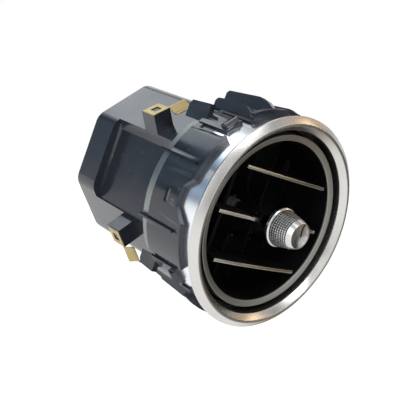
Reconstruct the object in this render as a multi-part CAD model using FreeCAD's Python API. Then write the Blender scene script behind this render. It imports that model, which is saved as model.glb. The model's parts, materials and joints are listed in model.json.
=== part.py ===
import FreeCAD, Part
import math
import os
from FreeCAD import Vector

# Round dashboard air vent with three tilting slats, a turning knob and a duct box
# The vent's axis is Y, its face looks towards -Y and Z is up, all in millimetres
# The origin is on the axis, in the plane where the bezel seats on the dashboard

# Fits
running = 0.05
gap = 0.3
reach = 60.0

# Silver sleeve behind the bezel, which sets the radii inside and outside it
sleeve_r = 44.5
sleeve_wall = 1.5
sleeve_inner_r = sleeve_r - sleeve_wall
sleeve_length = 35.6
sleeve_seat = 0.6
snap_window_width = 4.0
snap_window_y = 2.4
snap_window_length = 3.8
snap_angles = (163.0, 73.0, -17.0, -107.0)
snap_height = 1.0

# Air barrel, which lies inside the box's collar with an even space around it
box_collar_wall = 1.6
box_collar_r = sleeve_inner_r - 2 * running
barrel_space = 2.5
barrel_wall = 1.8
barrel_r = box_collar_r - box_collar_wall - barrel_space
barrel_inner_r = barrel_r - barrel_wall
barrel_length = 32.4

# Inner trim ring on the air barrel
trim_lip = 0.9
trim_r = barrel_r + trim_lip
trim_inner_r = barrel_inner_r - 2 * running
trim_front_y = 0.9
trim_slope = 0.9
trim_thick = 0.8
trim_skirt = 3.4

# Trim bezel
crest_step = 0.5
crest_r = sleeve_r + crest_step
crest_height = 3.4
bead = 0.4
rim_width = 3.4
rim_r = crest_r + rim_width
rim_height = 1.7
rim_edge = 1.0
funnel_gap = 2.4
funnel_r = trim_r + funnel_gap
funnel_height = 0.7
skirt_length = 8.0

# Retaining collar around the sleeve
collar_wall = 1.4
collar_front_y = 10.6
collar_back_y = 31.0
upper_front_y = 9.2
middle_front_y = 13.2
lower_front_y = 7.4
upper_step_top = 8.6
upper_step_foot = 4.4
lower_step_top = -4.0
lower_step_foot = -10.4
edge_round = 2.0
lip_height = 1.0
lip_length = 1.6
panel_step = 0.6
panel_start = 141.6
rib_tilt = 19.0
rib_rise = 0.7
rib_thick = 0.9
rib_back_y = 36.6
slot_front_y = 20.5
slot_back_y = 23.0
slot_top = 1.0
slot_bottom = -4.8

# Snap tabs in the collar's mouths
mouth_start = 123.4
tab_start = 125.8
tab_end = 137.6
tab_front_y = 13.5
mouth_back_y = 28.0
nib_front = 0.4
nib_length = 3.8
nib_height = 2.1
nib_share = 0.72

# Upright rails and hooks on the collar, each with the X of its outer face and its rear end
rail_places = ((23.5, 36.7), (12.0, 43.5))
rail_thick = 2.8
rail_height = 7.0
low_rail_height = 3.6
rail_foot = 1.8
rail_ramp = 10.4
rail_nose = 1.4
hook_x = 32.0
hook_front_y = 29.0
hook_back_y = 42.5
hook_height = 8.6
low_hook_back_y = 39.5
low_hook_height = 7.0
brow_height = 2.4
brow_length = 2.4

# Duct box
box_half = barrel_r - gap
box_chamfer = box_half + 0.4
box_corner_r = 8.0
box_wall = 2.0
plate_thick = 2.6
barrel_back_y = trim_front_y + trim_slope + trim_thick + barrel_length
box_front_y = barrel_back_y + plate_thick
box_depth = 57.9
box_back_y = box_front_y + box_depth
box_collar_front_y = skirt_length + 2 * gap
barrel_seat = 4.0
pocket_depth = 5.5
pocket_top = 14.3
pocket_bottom = 20.5
pocket_run = 3.3
pocket_rise = 4.4
pocket_end_y = 81.0

# Spring clips on their blocks
block_front_y = 50.7
block_back_y = 60.0
block_half_width = 4.8
block_rise = 3.2
block_top = sleeve_r + block_rise
clip_thick = 0.5
clip_front_y = 50.4
clip_back_y = 58.9
clip_window = 3.8
wing_root = 1.2
wing_run = 2.9
wing_drop = 2.2
wing_span = 9.0
upper_clip_angle = 128.0
upper_clip_offset = 12.7
upper_clip_drop = 1.2
lower_clip_angle = 225.0
lower_clip_offset = -3.1
clip_places = ((upper_clip_angle, upper_clip_offset, block_top - upper_clip_drop),
               (lower_clip_angle, lower_clip_offset, block_top),
               (180 - upper_clip_angle, -upper_clip_offset, block_top - upper_clip_drop),
               (180 - lower_clip_angle, -lower_clip_offset, block_top))

# Slats
slat_side_space = 16.4
slat_pitch = barrel_inner_r - slat_side_space
slat_axis_y = 10.6
slat_front_y = 0.1
slat_back_y = 19.2
slat_thick = 2.2
slat_edge = 1.5
slat_bow_r = 278.0
slat_end_gap = 4.0
strip_depth = 1.3
slat_pin_r = 1.5
slat_window = 11.4
boss_half = 8.4
boss_height = 4.2
boss_back_y = 4.2
boss_slot_half = 7.8
boss_slot_height = 2.9
flare_end = 13.0
flare_height = 1.15

# Bars that link the slats and the vanes
slat_link_inset = 7.7
slat_link_x = slat_end_gap + slat_link_inset - math.sqrt(barrel_inner_r ** 2 - slat_pitch ** 2)
slat_link_lever = 6.0
slat_link_width = 5.0
link_thick = 2.0
link_pin_r = 1.0
link_end = 2.4
vane_link_z = -14.0
vane_link_lever = 8.5
vane_link_width = 4.0

# Vanes
vane_side_space = 11.0
vane_pitch = (barrel_inner_r - vane_side_space) / 2
vane_count = 5
vane_axis_y = 25.6
vane_front = 2.8
vane_back = 10.5
vane_thick = 1.4
vane_pin_r = 1.2
vane_sweep = 3.3
vane_window = 4.8

# Knob
knob_flange_r = 9.0
knob_flange_y = -3.2
knob_flange_thick = 2.0
grip_base_r = 8.1
grip_tip_r = 6.5
grip_length = 7.6
cap_r = 6.7
cap_length = 3.0
cap_rim = 1.1
cap_dish = 0.9
stem_r = 2.2
shaft_r = 1.2
fork_half = 6.4
fork_arm = 1.4
fork_plate_near = 2.8
fork_plate_far = 4.2
fork_plate_half = 1.6
fork_eye_r = 2.1

# Jointed drive from the knob to the flaps
ball_r = 1.9
ball_flats = 3.6
socket_flats = 3.9
socket_r = 3.3
socket_front = 1.4
socket_depth = 2.6
socket_floor = 1.2
arm_r = 4.2
arm_front = 1.6
arm_back = 4.6
trunnion_r = 1.1
middle_shaft_r = 1.4
drive_shaft_r = 1.8
spider_front_y = 39.6
spider_length = 4.0
spider_hub_r = 4.4
spider_arm = 2.0

# Flaps and their bevel gears, inside the box's walls
duct_half = box_half - box_wall
pocket_inner_x = duct_half - pocket_depth
flap_axis_y = 57.6
flap_side_gap = 0.9
flap_length = duct_half - flap_side_gap
flap_half = pocket_inner_x - flap_side_gap
flap_thick = 1.6
flap_corner = (box_chamfer - box_wall - flap_side_gap) * math.sqrt(2)
flap_start = 3.6
flap_open = 78.0
axle_r = 1.5
axle_half = pocket_inner_x + box_wall / 2
axle_boss_r = 3.6
axle_boss_length = 3.4
knuckle_r = 3.0
knuckle_length = 6.8
knuckle_gap = 1.6
knuckle_end = pocket_inner_x - axle_boss_length - 4 * gap
knuckle_start = knuckle_end - knuckle_length
hub_end = knuckle_start - knuckle_gap
gear_teeth = 14
gear_pitch_r = 7.0
gear_small_r = 4.5
tooth_rise = 0.7
tooth_drop = 0.95
tooth_root_width = 1.9
tooth_tip_width = 0.55

X_AXIS = Vector(1, 0, 0)
Y_AXIS = Vector(0, 1, 0)
Z_AXIS = Vector(0, 0, 1)
ORIGIN = Vector(0, 0, 0)


def disc(radius, y0, y1):
    return Part.makeCylinder(radius, y1 - y0, Vector(0, y0, 0), Y_AXIS)


def ring(outer, inner, y0, y1):
    return disc(outer, y0, y1).cut(disc(inner, y0 - 1, y1 + 1))


def block(x0, x1, y0, y1, z0, z1):
    return Part.makeBox(x1 - x0, y1 - y0, z1 - z0, Vector(x0, y0, z0))


def rod_x(radius, x0, x1, y, z):
    return Part.makeCylinder(radius, x1 - x0, Vector(x0, y, z), X_AXIS)


def rod_z(radius, z0, z1, x, y):
    return Part.makeCylinder(radius, z1 - z0, Vector(x, y, z0), Z_AXIS)


def face_of(points):
    return Part.Face(Part.makePolygon(points + points[:1]))


def revolved(profile):
    """A profile of (radius, y) points turned about the vent's axis."""
    return face_of([Vector(r, y, 0) for r, y in profile]).revolve(ORIGIN, Y_AXIS, 360)


def side_plate(profile, x0, x1):
    """A profile of (y, z) points with its thickness along X."""
    return face_of([Vector(x0, y, z) for y, z in profile]).extrude(Vector(x1 - x0, 0, 0))


def turned(shape, angle):
    """Turns a shape from +X towards +Z about the vent's axis."""
    copy = shape.copy()
    copy.rotate(ORIGIN, Y_AXIS, -angle)
    return copy


def sector(start, end, inner, outer, y0, y1):
    """Part of a ring between two angles, counted from +X towards +Z."""
    corners = [Vector(inner, y0, 0), Vector(outer, y0, 0), Vector(outer, y1, 0), Vector(inner, y1, 0)]
    return turned(face_of(corners).revolve(ORIGIN, Vector(0, -1, 0), end - start), start)


def hexagon(flats, y0, y1):
    corner = flats / math.sqrt(3)
    points = [Vector(corner * math.cos(math.radians(60 * i)), y0, corner * math.sin(math.radians(60 * i)))
              for i in range(6)]
    return face_of(points).extrude(Vector(0, y1 - y0, 0))


def mirrored_x(shape):
    return shape.mirror(ORIGIN, X_AXIS)


def mirrored_z(shape):
    return shape.mirror(ORIGIN, Z_AXIS)


def save(name, shape):
    shape = shape.removeSplitter()
    solids = shape.Solids
    result = solids[0] if len(solids) == 1 else Part.makeCompound(solids)
    result.exportStep(os.path.join("parts", name + ".step"))
    print(name, len(solids), round(result.Volume, 1), result.isValid())


def trim_bezel():
    bottom = Vector(crest_r - bead, -crest_height + bead / 2, 0)
    top = Vector(crest_r + bead, -crest_height + bead / 2, 0)
    outer = Vector(rim_r, -rim_height, 0)
    rim_back = Vector(rim_r - rim_edge, 0, 0)
    points = [rim_back, Vector(sleeve_r, 0, 0), Vector(sleeve_r, -sleeve_seat, 0),
              Vector(sleeve_inner_r, -sleeve_seat, 0), Vector(sleeve_inner_r, skirt_length, 0),
              Vector(funnel_r, skirt_length, 0), Vector(funnel_r, -funnel_height, 0), bottom]
    edges = [Part.makeLine(a, b) for a, b in zip(points, points[1:])]
    edges.append(Part.Arc(bottom, Vector(crest_r, -crest_height - bead / 2, 0), top).toShape())
    edges.append(Part.makeLine(top, outer))
    bulge = Vector(rim_r + rim_edge * 0.05, -rim_height / 2, 0)
    edges.append(Part.Arc(outer, bulge, rim_back).toShape())
    body = Part.Face(Part.Wire(edges)).revolve(ORIGIN, Y_AXIS, 360)
    half = snap_window_width / 2 - gap
    for angle in snap_angles:
        back = snap_window_y + snap_window_length - gap
        ramp = face_of([Vector(sleeve_inner_r - sleeve_wall / 2, snap_window_y + gap, -half),
                        Vector(sleeve_inner_r + snap_height, snap_window_y + gap, -half),
                        Vector(sleeve_inner_r - sleeve_wall / 2, back, -half)])
        body = body.fuse(turned(ramp.extrude(Vector(0, 0, 2 * half)), angle))
    return body


def outer_sleeve():
    body = ring(sleeve_r, sleeve_inner_r, -sleeve_seat, sleeve_length)
    half = snap_window_width / 2
    for angle in snap_angles:
        window = block(sleeve_r - 2 * sleeve_wall, sleeve_r + sleeve_wall, snap_window_y,
                       snap_window_y + snap_window_length, -half, half)
        body = body.cut(turned(window, angle))
    return body


def inner_trim_ring():
    back = trim_front_y + trim_slope + trim_thick
    return revolved([(trim_r, trim_front_y), (trim_inner_r, trim_front_y + trim_slope), (trim_inner_r, back),
                     (barrel_r, back), (barrel_r, back + trim_skirt), (trim_r, back + trim_skirt)])


def slat_rows():
    """Name, height and half length of each slat."""
    return [(name, z, math.sqrt(barrel_inner_r ** 2 - z ** 2) - slat_end_gap)
            for name, z in (("upper", slat_pitch), ("centre", 0.0), ("lower", -slat_pitch))]


def vane_places():
    middle = (vane_count - 1) / 2
    return [(i + 1, vane_pitch * (i - middle)) for i in range(vane_count)]


def vane_half_height(x):
    return math.sqrt(barrel_inner_r ** 2 - (abs(x) + vane_sweep) ** 2) - 2 * gap


def air_barrel():
    front = trim_front_y + trim_slope + trim_thick
    body = ring(barrel_r, barrel_inner_r, front, barrel_back_y)
    for name, z, half in slat_rows():
        body = body.cut(rod_x(slat_pin_r + running, -reach, reach, slat_axis_y, z))
    for index, x in vane_places():
        body = body.cut(rod_z(vane_pin_r + running, -reach, reach, x, vane_axis_y))
    return body


def behind_front_edge(shift):
    """Room behind the collar's front edge, as seen from the side and moved back by a shift."""
    outline = [(upper_front_y, reach), (upper_front_y, upper_step_top), (middle_front_y, upper_step_foot),
               (middle_front_y, lower_step_top), (lower_front_y, lower_step_foot), (lower_front_y, -reach),
               (reach, -reach), (reach, reach)]
    room = side_plate([(y + shift, z) for y, z in outline], -reach, 0)
    bends = [e for e in room.Edges if abs(e.tangentAt(e.FirstParameter).x) > 0.99 and
             lower_step_foot - gap < e.Vertexes[0].Point.z < upper_step_top + gap]
    return room.makeFillet(edge_round, bends)


def collar_side():
    """Left side of the collar: two panels, the lower middle between them, ribs and a front lip."""
    inner = sleeve_r + running
    outer = inner + collar_wall
    far_end = 360 - panel_start
    body = sector(panel_start, far_end, inner, outer - panel_step, 0, collar_back_y)
    for start, end in ((panel_start, 180 - rib_tilt), (180 + rib_tilt, far_end)):
        body = body.fuse(sector(start, end, inner, outer, 0, collar_back_y))
    body = body.fuse(sector(panel_start, far_end, inner, outer + lip_height, 0, collar_back_y).cut(
        behind_front_edge(lip_length)))
    body = body.common(behind_front_edge(0))
    for angle in (180 - rib_tilt, 180 + rib_tilt):
        rib = block(inner, outer + rib_rise, middle_front_y, rib_back_y, -rib_thick / 2, rib_thick / 2)
        body = body.fuse(turned(rib, angle))
    return body.cut(block(-reach, 0, slot_front_y, slot_back_y, slot_bottom, slot_top))


def snap_tab():
    """Sprung tongue in a mouth of the collar with a wedge nib near its front end."""
    inner = sleeve_r + running
    outer = inner + collar_wall
    tongue = sector(tab_start, tab_end, inner, outer, tab_front_y, collar_back_y)
    half = math.radians(tab_end - tab_start) * outer / 2 * nib_share
    start = tab_front_y + nib_front
    nib = face_of([Vector(inner + collar_wall / 2, start, -half),
                   Vector(outer + nib_height / 3, start, -half),
                   Vector(outer + nib_height, start + nib_length / 3, -half),
                   Vector(outer + nib_height / 2, start + nib_length, -half),
                   Vector(inner + collar_wall / 2, start + nib_length, -half)])
    wedge = turned(nib.extrude(Vector(0, 0, 2 * half)), (tab_start + tab_end) / 2)
    return tongue.fuse(wedge)


def guide_rail(x, height, back):
    """Upright plate along the collar: a foot, a ramp up to its ridge and a square rear end."""
    base = math.sqrt(sleeve_r ** 2 - x ** 2)
    foot_end = collar_front_y + rail_foot
    profile = [(collar_front_y, base - collar_wall), (collar_front_y, base + height / 2),
               (foot_end, base + height / 2), (foot_end + rail_ramp / 2, base + height * 0.85),
               (foot_end + rail_ramp, base + height), (back - rail_nose, base + height - rail_nose),
               (back, base + height - 2 * rail_nose), (back, base - collar_wall)]
    return side_plate(profile, -x, -x + rail_thick)


def rear_hook(height, back):
    """Upright plate that reaches back from the collar over the duct box."""
    base = math.sqrt(sleeve_r ** 2 - hook_x ** 2)
    profile = [(hook_front_y, base - collar_wall), (hook_front_y, base + height),
               (back - rail_nose, base + height - rail_nose / 2), (back, base + height - 2 * rail_nose),
               (back, base - collar_wall)]
    return side_plate(profile, -hook_x, -hook_x + rail_thick)


def collar_half(height, hook, hook_back):
    """What the collar carries above its left side: rails, hook, brow between the rails and snap tab."""
    inner = sleeve_r + running
    outer = inner + collar_wall
    edge = 180 - math.degrees(math.acos(rail_places[0][0] / outer))
    body = sector(90, panel_start, inner, outer - panel_step, collar_front_y, collar_back_y)
    body = body.cut(sector(mouth_start, panel_start, inner - 1, outer, 0, mouth_back_y))
    brow_back_y = collar_front_y + brow_length
    body = body.fuse(sector(90, edge, inner, outer + brow_height, collar_front_y, brow_back_y))
    for x, back in rail_places:
        body = body.fuse(guide_rail(x, height, back))
    return body.fuse(rear_hook(hook, hook_back)).fuse(snap_tab())


def retaining_collar():
    body = collar_side()
    body = body.fuse(collar_half(rail_height, hook_height, hook_back_y))
    body = body.fuse(mirrored_z(collar_half(low_rail_height, low_hook_height, low_hook_back_y)))
    body = body.cut(disc(sleeve_r + running, 0, reach))
    return body.fuse(mirrored_x(body))


def octagon(half, chamfer, y0, y1, corner):
    cut = chamfer * math.sqrt(2) - half
    ring_points = [(half, -cut), (half, cut), (cut, half), (-cut, half),
                   (-half, cut), (-half, -cut), (-cut, -half), (cut, -half)]
    body = face_of([Vector(x, y0, z) for x, z in ring_points]).extrude(Vector(0, y1 - y0, 0))
    upright = [e for e in body.Edges if abs(e.tangentAt(e.FirstParameter).y) > 0.99]
    return body.makeFillet(corner, upright)


def side_pocket(grow):
    """The recess in the box's left side, or the room it takes when grown by the wall."""
    floor_x = -(box_half - pocket_depth) + grow
    top = pocket_top + grow * (1 - pocket_rise / math.hypot(pocket_run, pocket_rise)) / \
        (pocket_run / math.hypot(pocket_run, pocket_rise))
    far = 3 * pocket_run
    points = [(floor_x, -pocket_bottom - grow), (floor_x, top),
              (floor_x - far, top + far * pocket_rise / pocket_run),
              (-reach, top + far * pocket_rise / pocket_run), (-reach, -pocket_bottom - grow)]
    face = face_of([Vector(x, box_front_y - grow, z) for x, z in points])
    return face.extrude(Vector(0, pocket_end_y + 2 * grow - box_front_y, 0))


def clip_block(angle, offset, top):
    """Solid post on a chamfer of the box, where a spring clip is pressed on."""
    post = block(box_chamfer - 2 * box_wall, top, block_front_y, block_back_y,
                 offset - block_half_width, offset + block_half_width)
    return turned(post, angle)


def axle_bosses():
    start = pocket_inner_x - axle_boss_length
    boss = rod_x(axle_boss_r, start, pocket_inner_x + box_wall / 2, flap_axis_y, 0)
    return boss.fuse(mirrored_x(boss))


def duct_box():
    body = octagon(box_half, box_chamfer, box_front_y - plate_thick / 2, box_back_y, box_corner_r)
    body = body.fuse(disc(box_collar_r, box_collar_front_y, box_front_y))
    for place in clip_places:
        body = body.fuse(clip_block(*place))
    pocket = side_pocket(0)
    body = body.cut(pocket).cut(mirrored_x(pocket))
    cavity = octagon(box_half - box_wall, box_chamfer - box_wall, box_front_y - plate_thick,
                     box_back_y + 1, box_corner_r - box_wall)
    grown = side_pocket(box_wall)
    cavity = cavity.cut(grown).cut(mirrored_x(grown))
    body = body.cut(cavity.fuse(disc(barrel_r + running, 0, barrel_back_y)))
    body = body.cut(disc(box_collar_r - box_collar_wall, 0, barrel_back_y - barrel_seat))
    return body.fuse(axle_bosses()).cut(rod_x(axle_r, -axle_half, axle_half, flap_axis_y, 0))


def spring_clip(angle, offset, post_top):
    """Spring strip: a plate with a window on the post and a V-shaped wing beside its front edge."""
    top = post_top + clip_thick
    half = block_half_width - gap
    side = -1 if offset > 0 else 1
    plate = block(post_top, top, clip_front_y, clip_back_y, offset - half, offset + half)
    middle = (clip_front_y + clip_back_y) / 2
    window = block(post_top - 1, top + 1, middle - clip_window / 2, middle + clip_window / 2,
                   offset - clip_window / 2, offset + clip_window / 2)
    valley_y = clip_front_y - wing_run
    tip_y = valley_y - wing_run * 0.65
    valley = top - wing_drop
    root_y = clip_front_y + wing_root
    outline = [(root_y, post_top), (root_y, top), (clip_front_y, top), (valley_y, valley), (tip_y, valley),
               (tip_y, valley - clip_thick), (valley_y, valley - clip_thick), (clip_front_y, post_top)]
    start = offset + side * half
    wing = face_of([Vector(r, y, start) for y, r in outline]).extrude(Vector(0, 0, side * wing_span))
    return turned(plate.cut(window).fuse(wing), angle)


def bowed_plan(half, start, end, z0, z1):
    """Plan shape whose front edge bows towards the viewer by the slats' bow."""
    bow = half ** 2 / (2 * slat_bow_r)
    front = [Vector(-half, start + bow, z0), Vector(0, start, z0), Vector(half, start + bow, z0)]
    if end is None:
        back = [p + Vector(0, strip_depth, 0) for p in front]
        last = Part.Arc(back[2], back[1], back[0]).toShape()
    else:
        back = [Vector(-half, end, z0), None, Vector(half, end, z0)]
        last = Part.makeLine(back[2], back[0])
    wire = Part.Wire([Part.Arc(*front).toShape(), Part.makeLine(front[2], back[2]), last,
                      Part.makeLine(back[0], front[0])])
    return Part.Face(wire).extrude(Vector(0, 0, z1 - z0))


def slat_section(z):
    """Streamlined cross-section of a slat, thickest at its hinge axis."""
    edge = slat_edge / 2
    thick = slat_thick / 2
    return [(slat_front_y - 1, z - edge), (slat_axis_y - slat_thick, z - thick),
            (slat_axis_y + slat_thick, z - thick), (slat_back_y + 1, z - edge / 2),
            (slat_back_y + 1, z + edge / 2), (slat_axis_y + slat_thick, z + thick),
            (slat_axis_y - slat_thick, z + thick), (slat_front_y - 1, z + edge)]


def slat(name, z, half):
    body = bowed_plan(half, slat_front_y + strip_depth, slat_back_y, z - slat_thick, z + slat_thick)
    body = body.common(side_plate(slat_section(z), -half - 1, half + 1))
    pin_end = math.sqrt((barrel_r - gap) ** 2 - z ** 2)
    pins = rod_x(slat_pin_r, -pin_end, -half + slat_pin_r, slat_axis_y, z)
    body = body.fuse(pins).fuse(mirrored_x(pins))
    if name == "centre":
        boss = block(-boss_half, boss_half, slat_front_y + strip_depth / 2, boss_back_y,
                     z - boss_height, z + boss_height)
        tall = [e for e in boss.Edges if abs(e.tangentAt(e.FirstParameter).y) > 0.99]
        body = body.fuse(boss.makeFillet(boss_height - boss_slot_height, tall))
        window = block(-slat_window, slat_window, boss_back_y, reach, z - boss_height, z + boss_height)
        body = body.cut(window)
        body = body.cut(block(-boss_slot_half, boss_slot_half, 0, boss_back_y + 1,
                              z - boss_slot_height, z + boss_slot_height))
    pin_y = slat_axis_y + slat_link_lever
    notch_half = link_thick / 2 + 3 * gap
    notch = block(slat_link_x - notch_half, slat_link_x + notch_half, pin_y - slat_link_width / 2 - 4 * gap,
                  reach, z - slat_thick, z + slat_thick)
    pin = rod_x(link_pin_r, slat_link_x - notch_half - 1, slat_link_x + notch_half + 1, pin_y, z)
    return body.cut(notch).fuse(pin)


def centre_strip(half):
    """Left half of the centre slat's strip, which flares where it meets the boss."""
    body = bowed_plan(half, slat_front_y, None, -flare_height, flare_height)
    edge = slat_edge / 2
    outline = [(-reach, -edge), (-flare_end, -edge), (-boss_half - edge, -flare_height),
               (-boss_half - 2 * gap, -flare_height), (-boss_half - 2 * gap, flare_height),
               (-boss_half - edge, flare_height), (-flare_end, edge), (-reach, edge)]
    front = face_of([Vector(x, -reach, z) for x, z in outline]).extrude(Vector(0, 2 * reach, 0))
    return body.common(front)


def slat_link():
    """Upright bar behind the slats that makes all three tilt together."""
    y = slat_axis_y + slat_link_lever
    half = slat_pitch + link_end
    x0 = slat_link_x - link_thick / 2
    bar = block(x0, x0 + link_thick, y - slat_link_width / 2, y + slat_link_width / 2, -half, half)
    ends = [e for e in bar.Edges if abs(e.tangentAt(e.FirstParameter).x) > 0.99]
    bar = bar.makeFillet(link_end * 0.9, ends)
    for name, z, length in slat_rows():
        bar = bar.cut(rod_x(link_pin_r + running, -reach, reach, y, z))
    return bar


def vane_blade(x):
    half = vane_half_height(x)
    body = block(x - vane_thick / 2, x + vane_thick / 2, vane_axis_y - vane_front, vane_axis_y + vane_back,
                 -half, half)
    corners = [e for e in body.Edges if abs(e.tangentAt(e.FirstParameter).x) > 0.99]
    body = body.makeFillet(vane_front / 2, corners)
    pin_end = math.sqrt((barrel_r - gap) ** 2 - x ** 2)
    pins = rod_z(vane_pin_r, half - vane_pin_r, pin_end, x, vane_axis_y)
    body = body.fuse(pins).fuse(mirrored_z(pins))
    pin_y = vane_axis_y + vane_link_lever
    notch_half = link_thick / 2 + 3 * gap
    notch = block(x - vane_thick, x + vane_thick, pin_y - vane_link_width / 2 - 3 * gap, reach,
                  vane_link_z - notch_half, vane_link_z + notch_half)
    pin = rod_z(link_pin_r, vane_link_z - notch_half - 1, vane_link_z + notch_half + 1, x, pin_y)
    return body.cut(notch).fuse(pin)


def centre_vane():
    """Middle vane with the forward arm that carries the knob's stem."""
    window = block(-reach, reach, vane_axis_y - vane_front - 1, reach, -vane_window, vane_window)
    body = vane_blade(0).cut(window)
    front = slat_axis_y - arm_front
    back = vane_axis_y - arm_back
    shoulder = slat_axis_y + socket_depth + socket_floor + running
    web = [(vane_axis_y - vane_front, arm_r * 3), (vane_axis_y - vane_front + 2, arm_r * 3),
           (vane_axis_y - vane_front + 2, vane_window), (back, vane_window), (back, arm_r * 0.8),
           (shoulder + gap, arm_r * 0.8), (shoulder + gap, arm_r * 1.2), (back, arm_r * 2)]
    upper = side_plate(web, -vane_thick / 2, vane_thick / 2)
    body = body.fuse(upper).fuse(mirrored_z(upper)).fuse(disc(arm_r, front, back))
    trunnion = rod_x(trunnion_r, -fork_half, fork_half, slat_axis_y, 0)
    body = body.fuse(trunnion)
    body = body.cut(disc(socket_r + running, front - 1, shoulder))
    return body.cut(disc(middle_shaft_r + running, front - 1, back + 1))


def vane_link():
    """Level bar behind the vanes that makes all five turn together."""
    y = vane_axis_y + vane_link_lever
    half = vane_pitch * (vane_count - 1) / 2 + link_end
    z0 = vane_link_z - link_thick / 2
    bar = block(-half, half, y - vane_link_width / 2, y + vane_link_width / 2, z0, z0 + link_thick)
    ends = [e for e in bar.Edges if abs(e.tangentAt(e.FirstParameter).z) > 0.99]
    bar = bar.makeFillet(vane_link_width * 0.45, ends)
    for index, x in vane_places():
        bar = bar.cut(rod_z(link_pin_r + running, -reach, reach, x, y))
    return bar


def knob_stem():
    """Tube through the centre slat with the fork that pivots on the vane's arm."""
    near = slat_axis_y - fork_plate_near
    far = slat_axis_y - fork_plate_far
    tube = disc(stem_r, knob_flange_y + gap, near)
    plate = block(-fork_half, fork_half, far, near, -fork_plate_half, fork_plate_half)
    body = tube.fuse(plate)
    arm = block(fork_half - fork_arm, fork_half, far, slat_axis_y, -fork_plate_half, fork_plate_half)
    arm = arm.fuse(rod_x(fork_eye_r, fork_half - fork_arm, fork_half, slat_axis_y, 0))
    body = body.fuse(arm).fuse(mirrored_x(arm))
    body = body.cut(disc(shaft_r + running, knob_flange_y - 1, near + 1))
    return body.cut(rod_x(trunnion_r + running, -reach, reach, slat_axis_y, 0))


def knob_base():
    """Polished flange ring at the foot of the knob."""
    back = knob_flange_y
    front = back - knob_flange_thick
    edge = knob_flange_thick / 4
    return revolved([(shaft_r, back), (knob_flange_r - edge, back), (knob_flange_r, back - edge),
                     (knob_flange_r - edge, back - 2 * edge), (grip_base_r, front), (shaft_r, front)])


def knob_grip():
    """Tapered body under the knurling."""
    back = knob_flange_y - knob_flange_thick
    front = back - grip_length
    return revolved([(shaft_r, back), (grip_base_r, back), (grip_tip_r, front), (shaft_r, front)])


def knob_cap():
    """Polished end ring with a shallow dish and a slim pointer groove."""
    back = knob_flange_y - knob_flange_thick - grip_length
    front = back - cap_length
    edge = cap_rim / 2
    body = revolved([(0, back), (cap_r, back), (cap_r, front + edge), (cap_r - edge, front),
                     (cap_r - cap_rim, front), (cap_r - 2 * cap_rim, front + cap_dish),
                     (0, front + cap_dish)])
    groove = block(-cap_dish / 4, cap_dish / 4, front - 1, front + cap_dish * 1.3, 0, cap_r - cap_rim / 2)
    return body.cut(groove)


def ball_end(y):
    """Ball with six flats, which drives a six-sided socket at an angle."""
    ball = Part.makeSphere(ball_r, Vector(0, y, 0))
    return ball.common(hexagon(ball_flats, y - ball_r, y + ball_r))


def knob_shaft():
    front = knob_flange_y - knob_flange_thick - grip_length
    return disc(shaft_r, front, slat_axis_y).fuse(ball_end(slat_axis_y))


def socket(y):
    """Six-sided socket that opens towards -Y around a ball centred at y."""
    body = disc(socket_r, y - socket_front, y + socket_depth + socket_floor)
    return body.cut(hexagon(socket_flats, y - socket_front - 1, y + socket_depth))


def middle_shaft():
    start = slat_axis_y + socket_depth + socket_floor / 2
    return socket(slat_axis_y).fuse(disc(middle_shaft_r, start, vane_axis_y)).fuse(ball_end(vane_axis_y))


def drive_shaft():
    start = vane_axis_y + socket_depth + socket_floor / 2
    end = flap_axis_y - gear_small_r
    return socket(vane_axis_y).fuse(disc(drive_shaft_r, start, end))


def bearing_spider():
    """Four arms across the duct that carry the drive shaft."""
    end = spider_front_y + spider_length
    body = disc(spider_hub_r, spider_front_y, end)
    arm_end = box_chamfer - box_wall
    for angle in (45, 135):
        arm = block(-arm_end, arm_end, spider_front_y, end, -spider_arm / 2, spider_arm / 2)
        body = body.fuse(turned(arm, angle))
    return body.cut(disc(drive_shaft_r + running, spider_front_y - 1, end + 1))


def bevel_teeth(phase):
    """Mitre gear on the Y axis whose cones meet at the flap axis."""
    apex = Vector(0, flap_axis_y, 0)
    scale = gear_small_r / gear_pitch_r
    root_r = gear_pitch_r - tooth_drop
    back = flap_axis_y - gear_pitch_r
    front = flap_axis_y - gear_small_r
    body = Part.makeCone(root_r, root_r * scale, front - back, Vector(0, back, 0), Y_AXIS)
    foot = root_r - tooth_drop
    tip = gear_pitch_r + tooth_rise
    outline = [(foot, -tooth_root_width / 2), (foot, tooth_root_width / 2), (root_r, tooth_root_width / 2),
               (tip, tooth_tip_width / 2), (tip, -tooth_tip_width / 2), (root_r, -tooth_root_width / 2)]
    large = [Vector(r, back, w) for r, w in outline]
    small = [apex + (p - apex) * scale for p in large]
    wires = [Part.makePolygon(points + points[:1]) for points in (large, small)]
    tooth = Part.makeLoft(wires, True, True)
    step = 360.0 / gear_teeth
    teeth = [turned(tooth, step * (i + phase)) for i in range(gear_teeth)]
    return body.multiFuse(teeth)


def bevel_pinion():
    return bevel_teeth(0).cut(disc(drive_shaft_r, 0, flap_axis_y))


def gear_on_axle(side):
    """Mitre gear on the flap axle, with a gap where the pinion has a tooth."""
    gear = bevel_teeth(0.5).cut(disc(axle_r + running, 0, flap_axis_y))
    gear.rotate(Vector(0, flap_axis_y, 0), Z_AXIS, 90 * side)
    return gear


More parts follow.
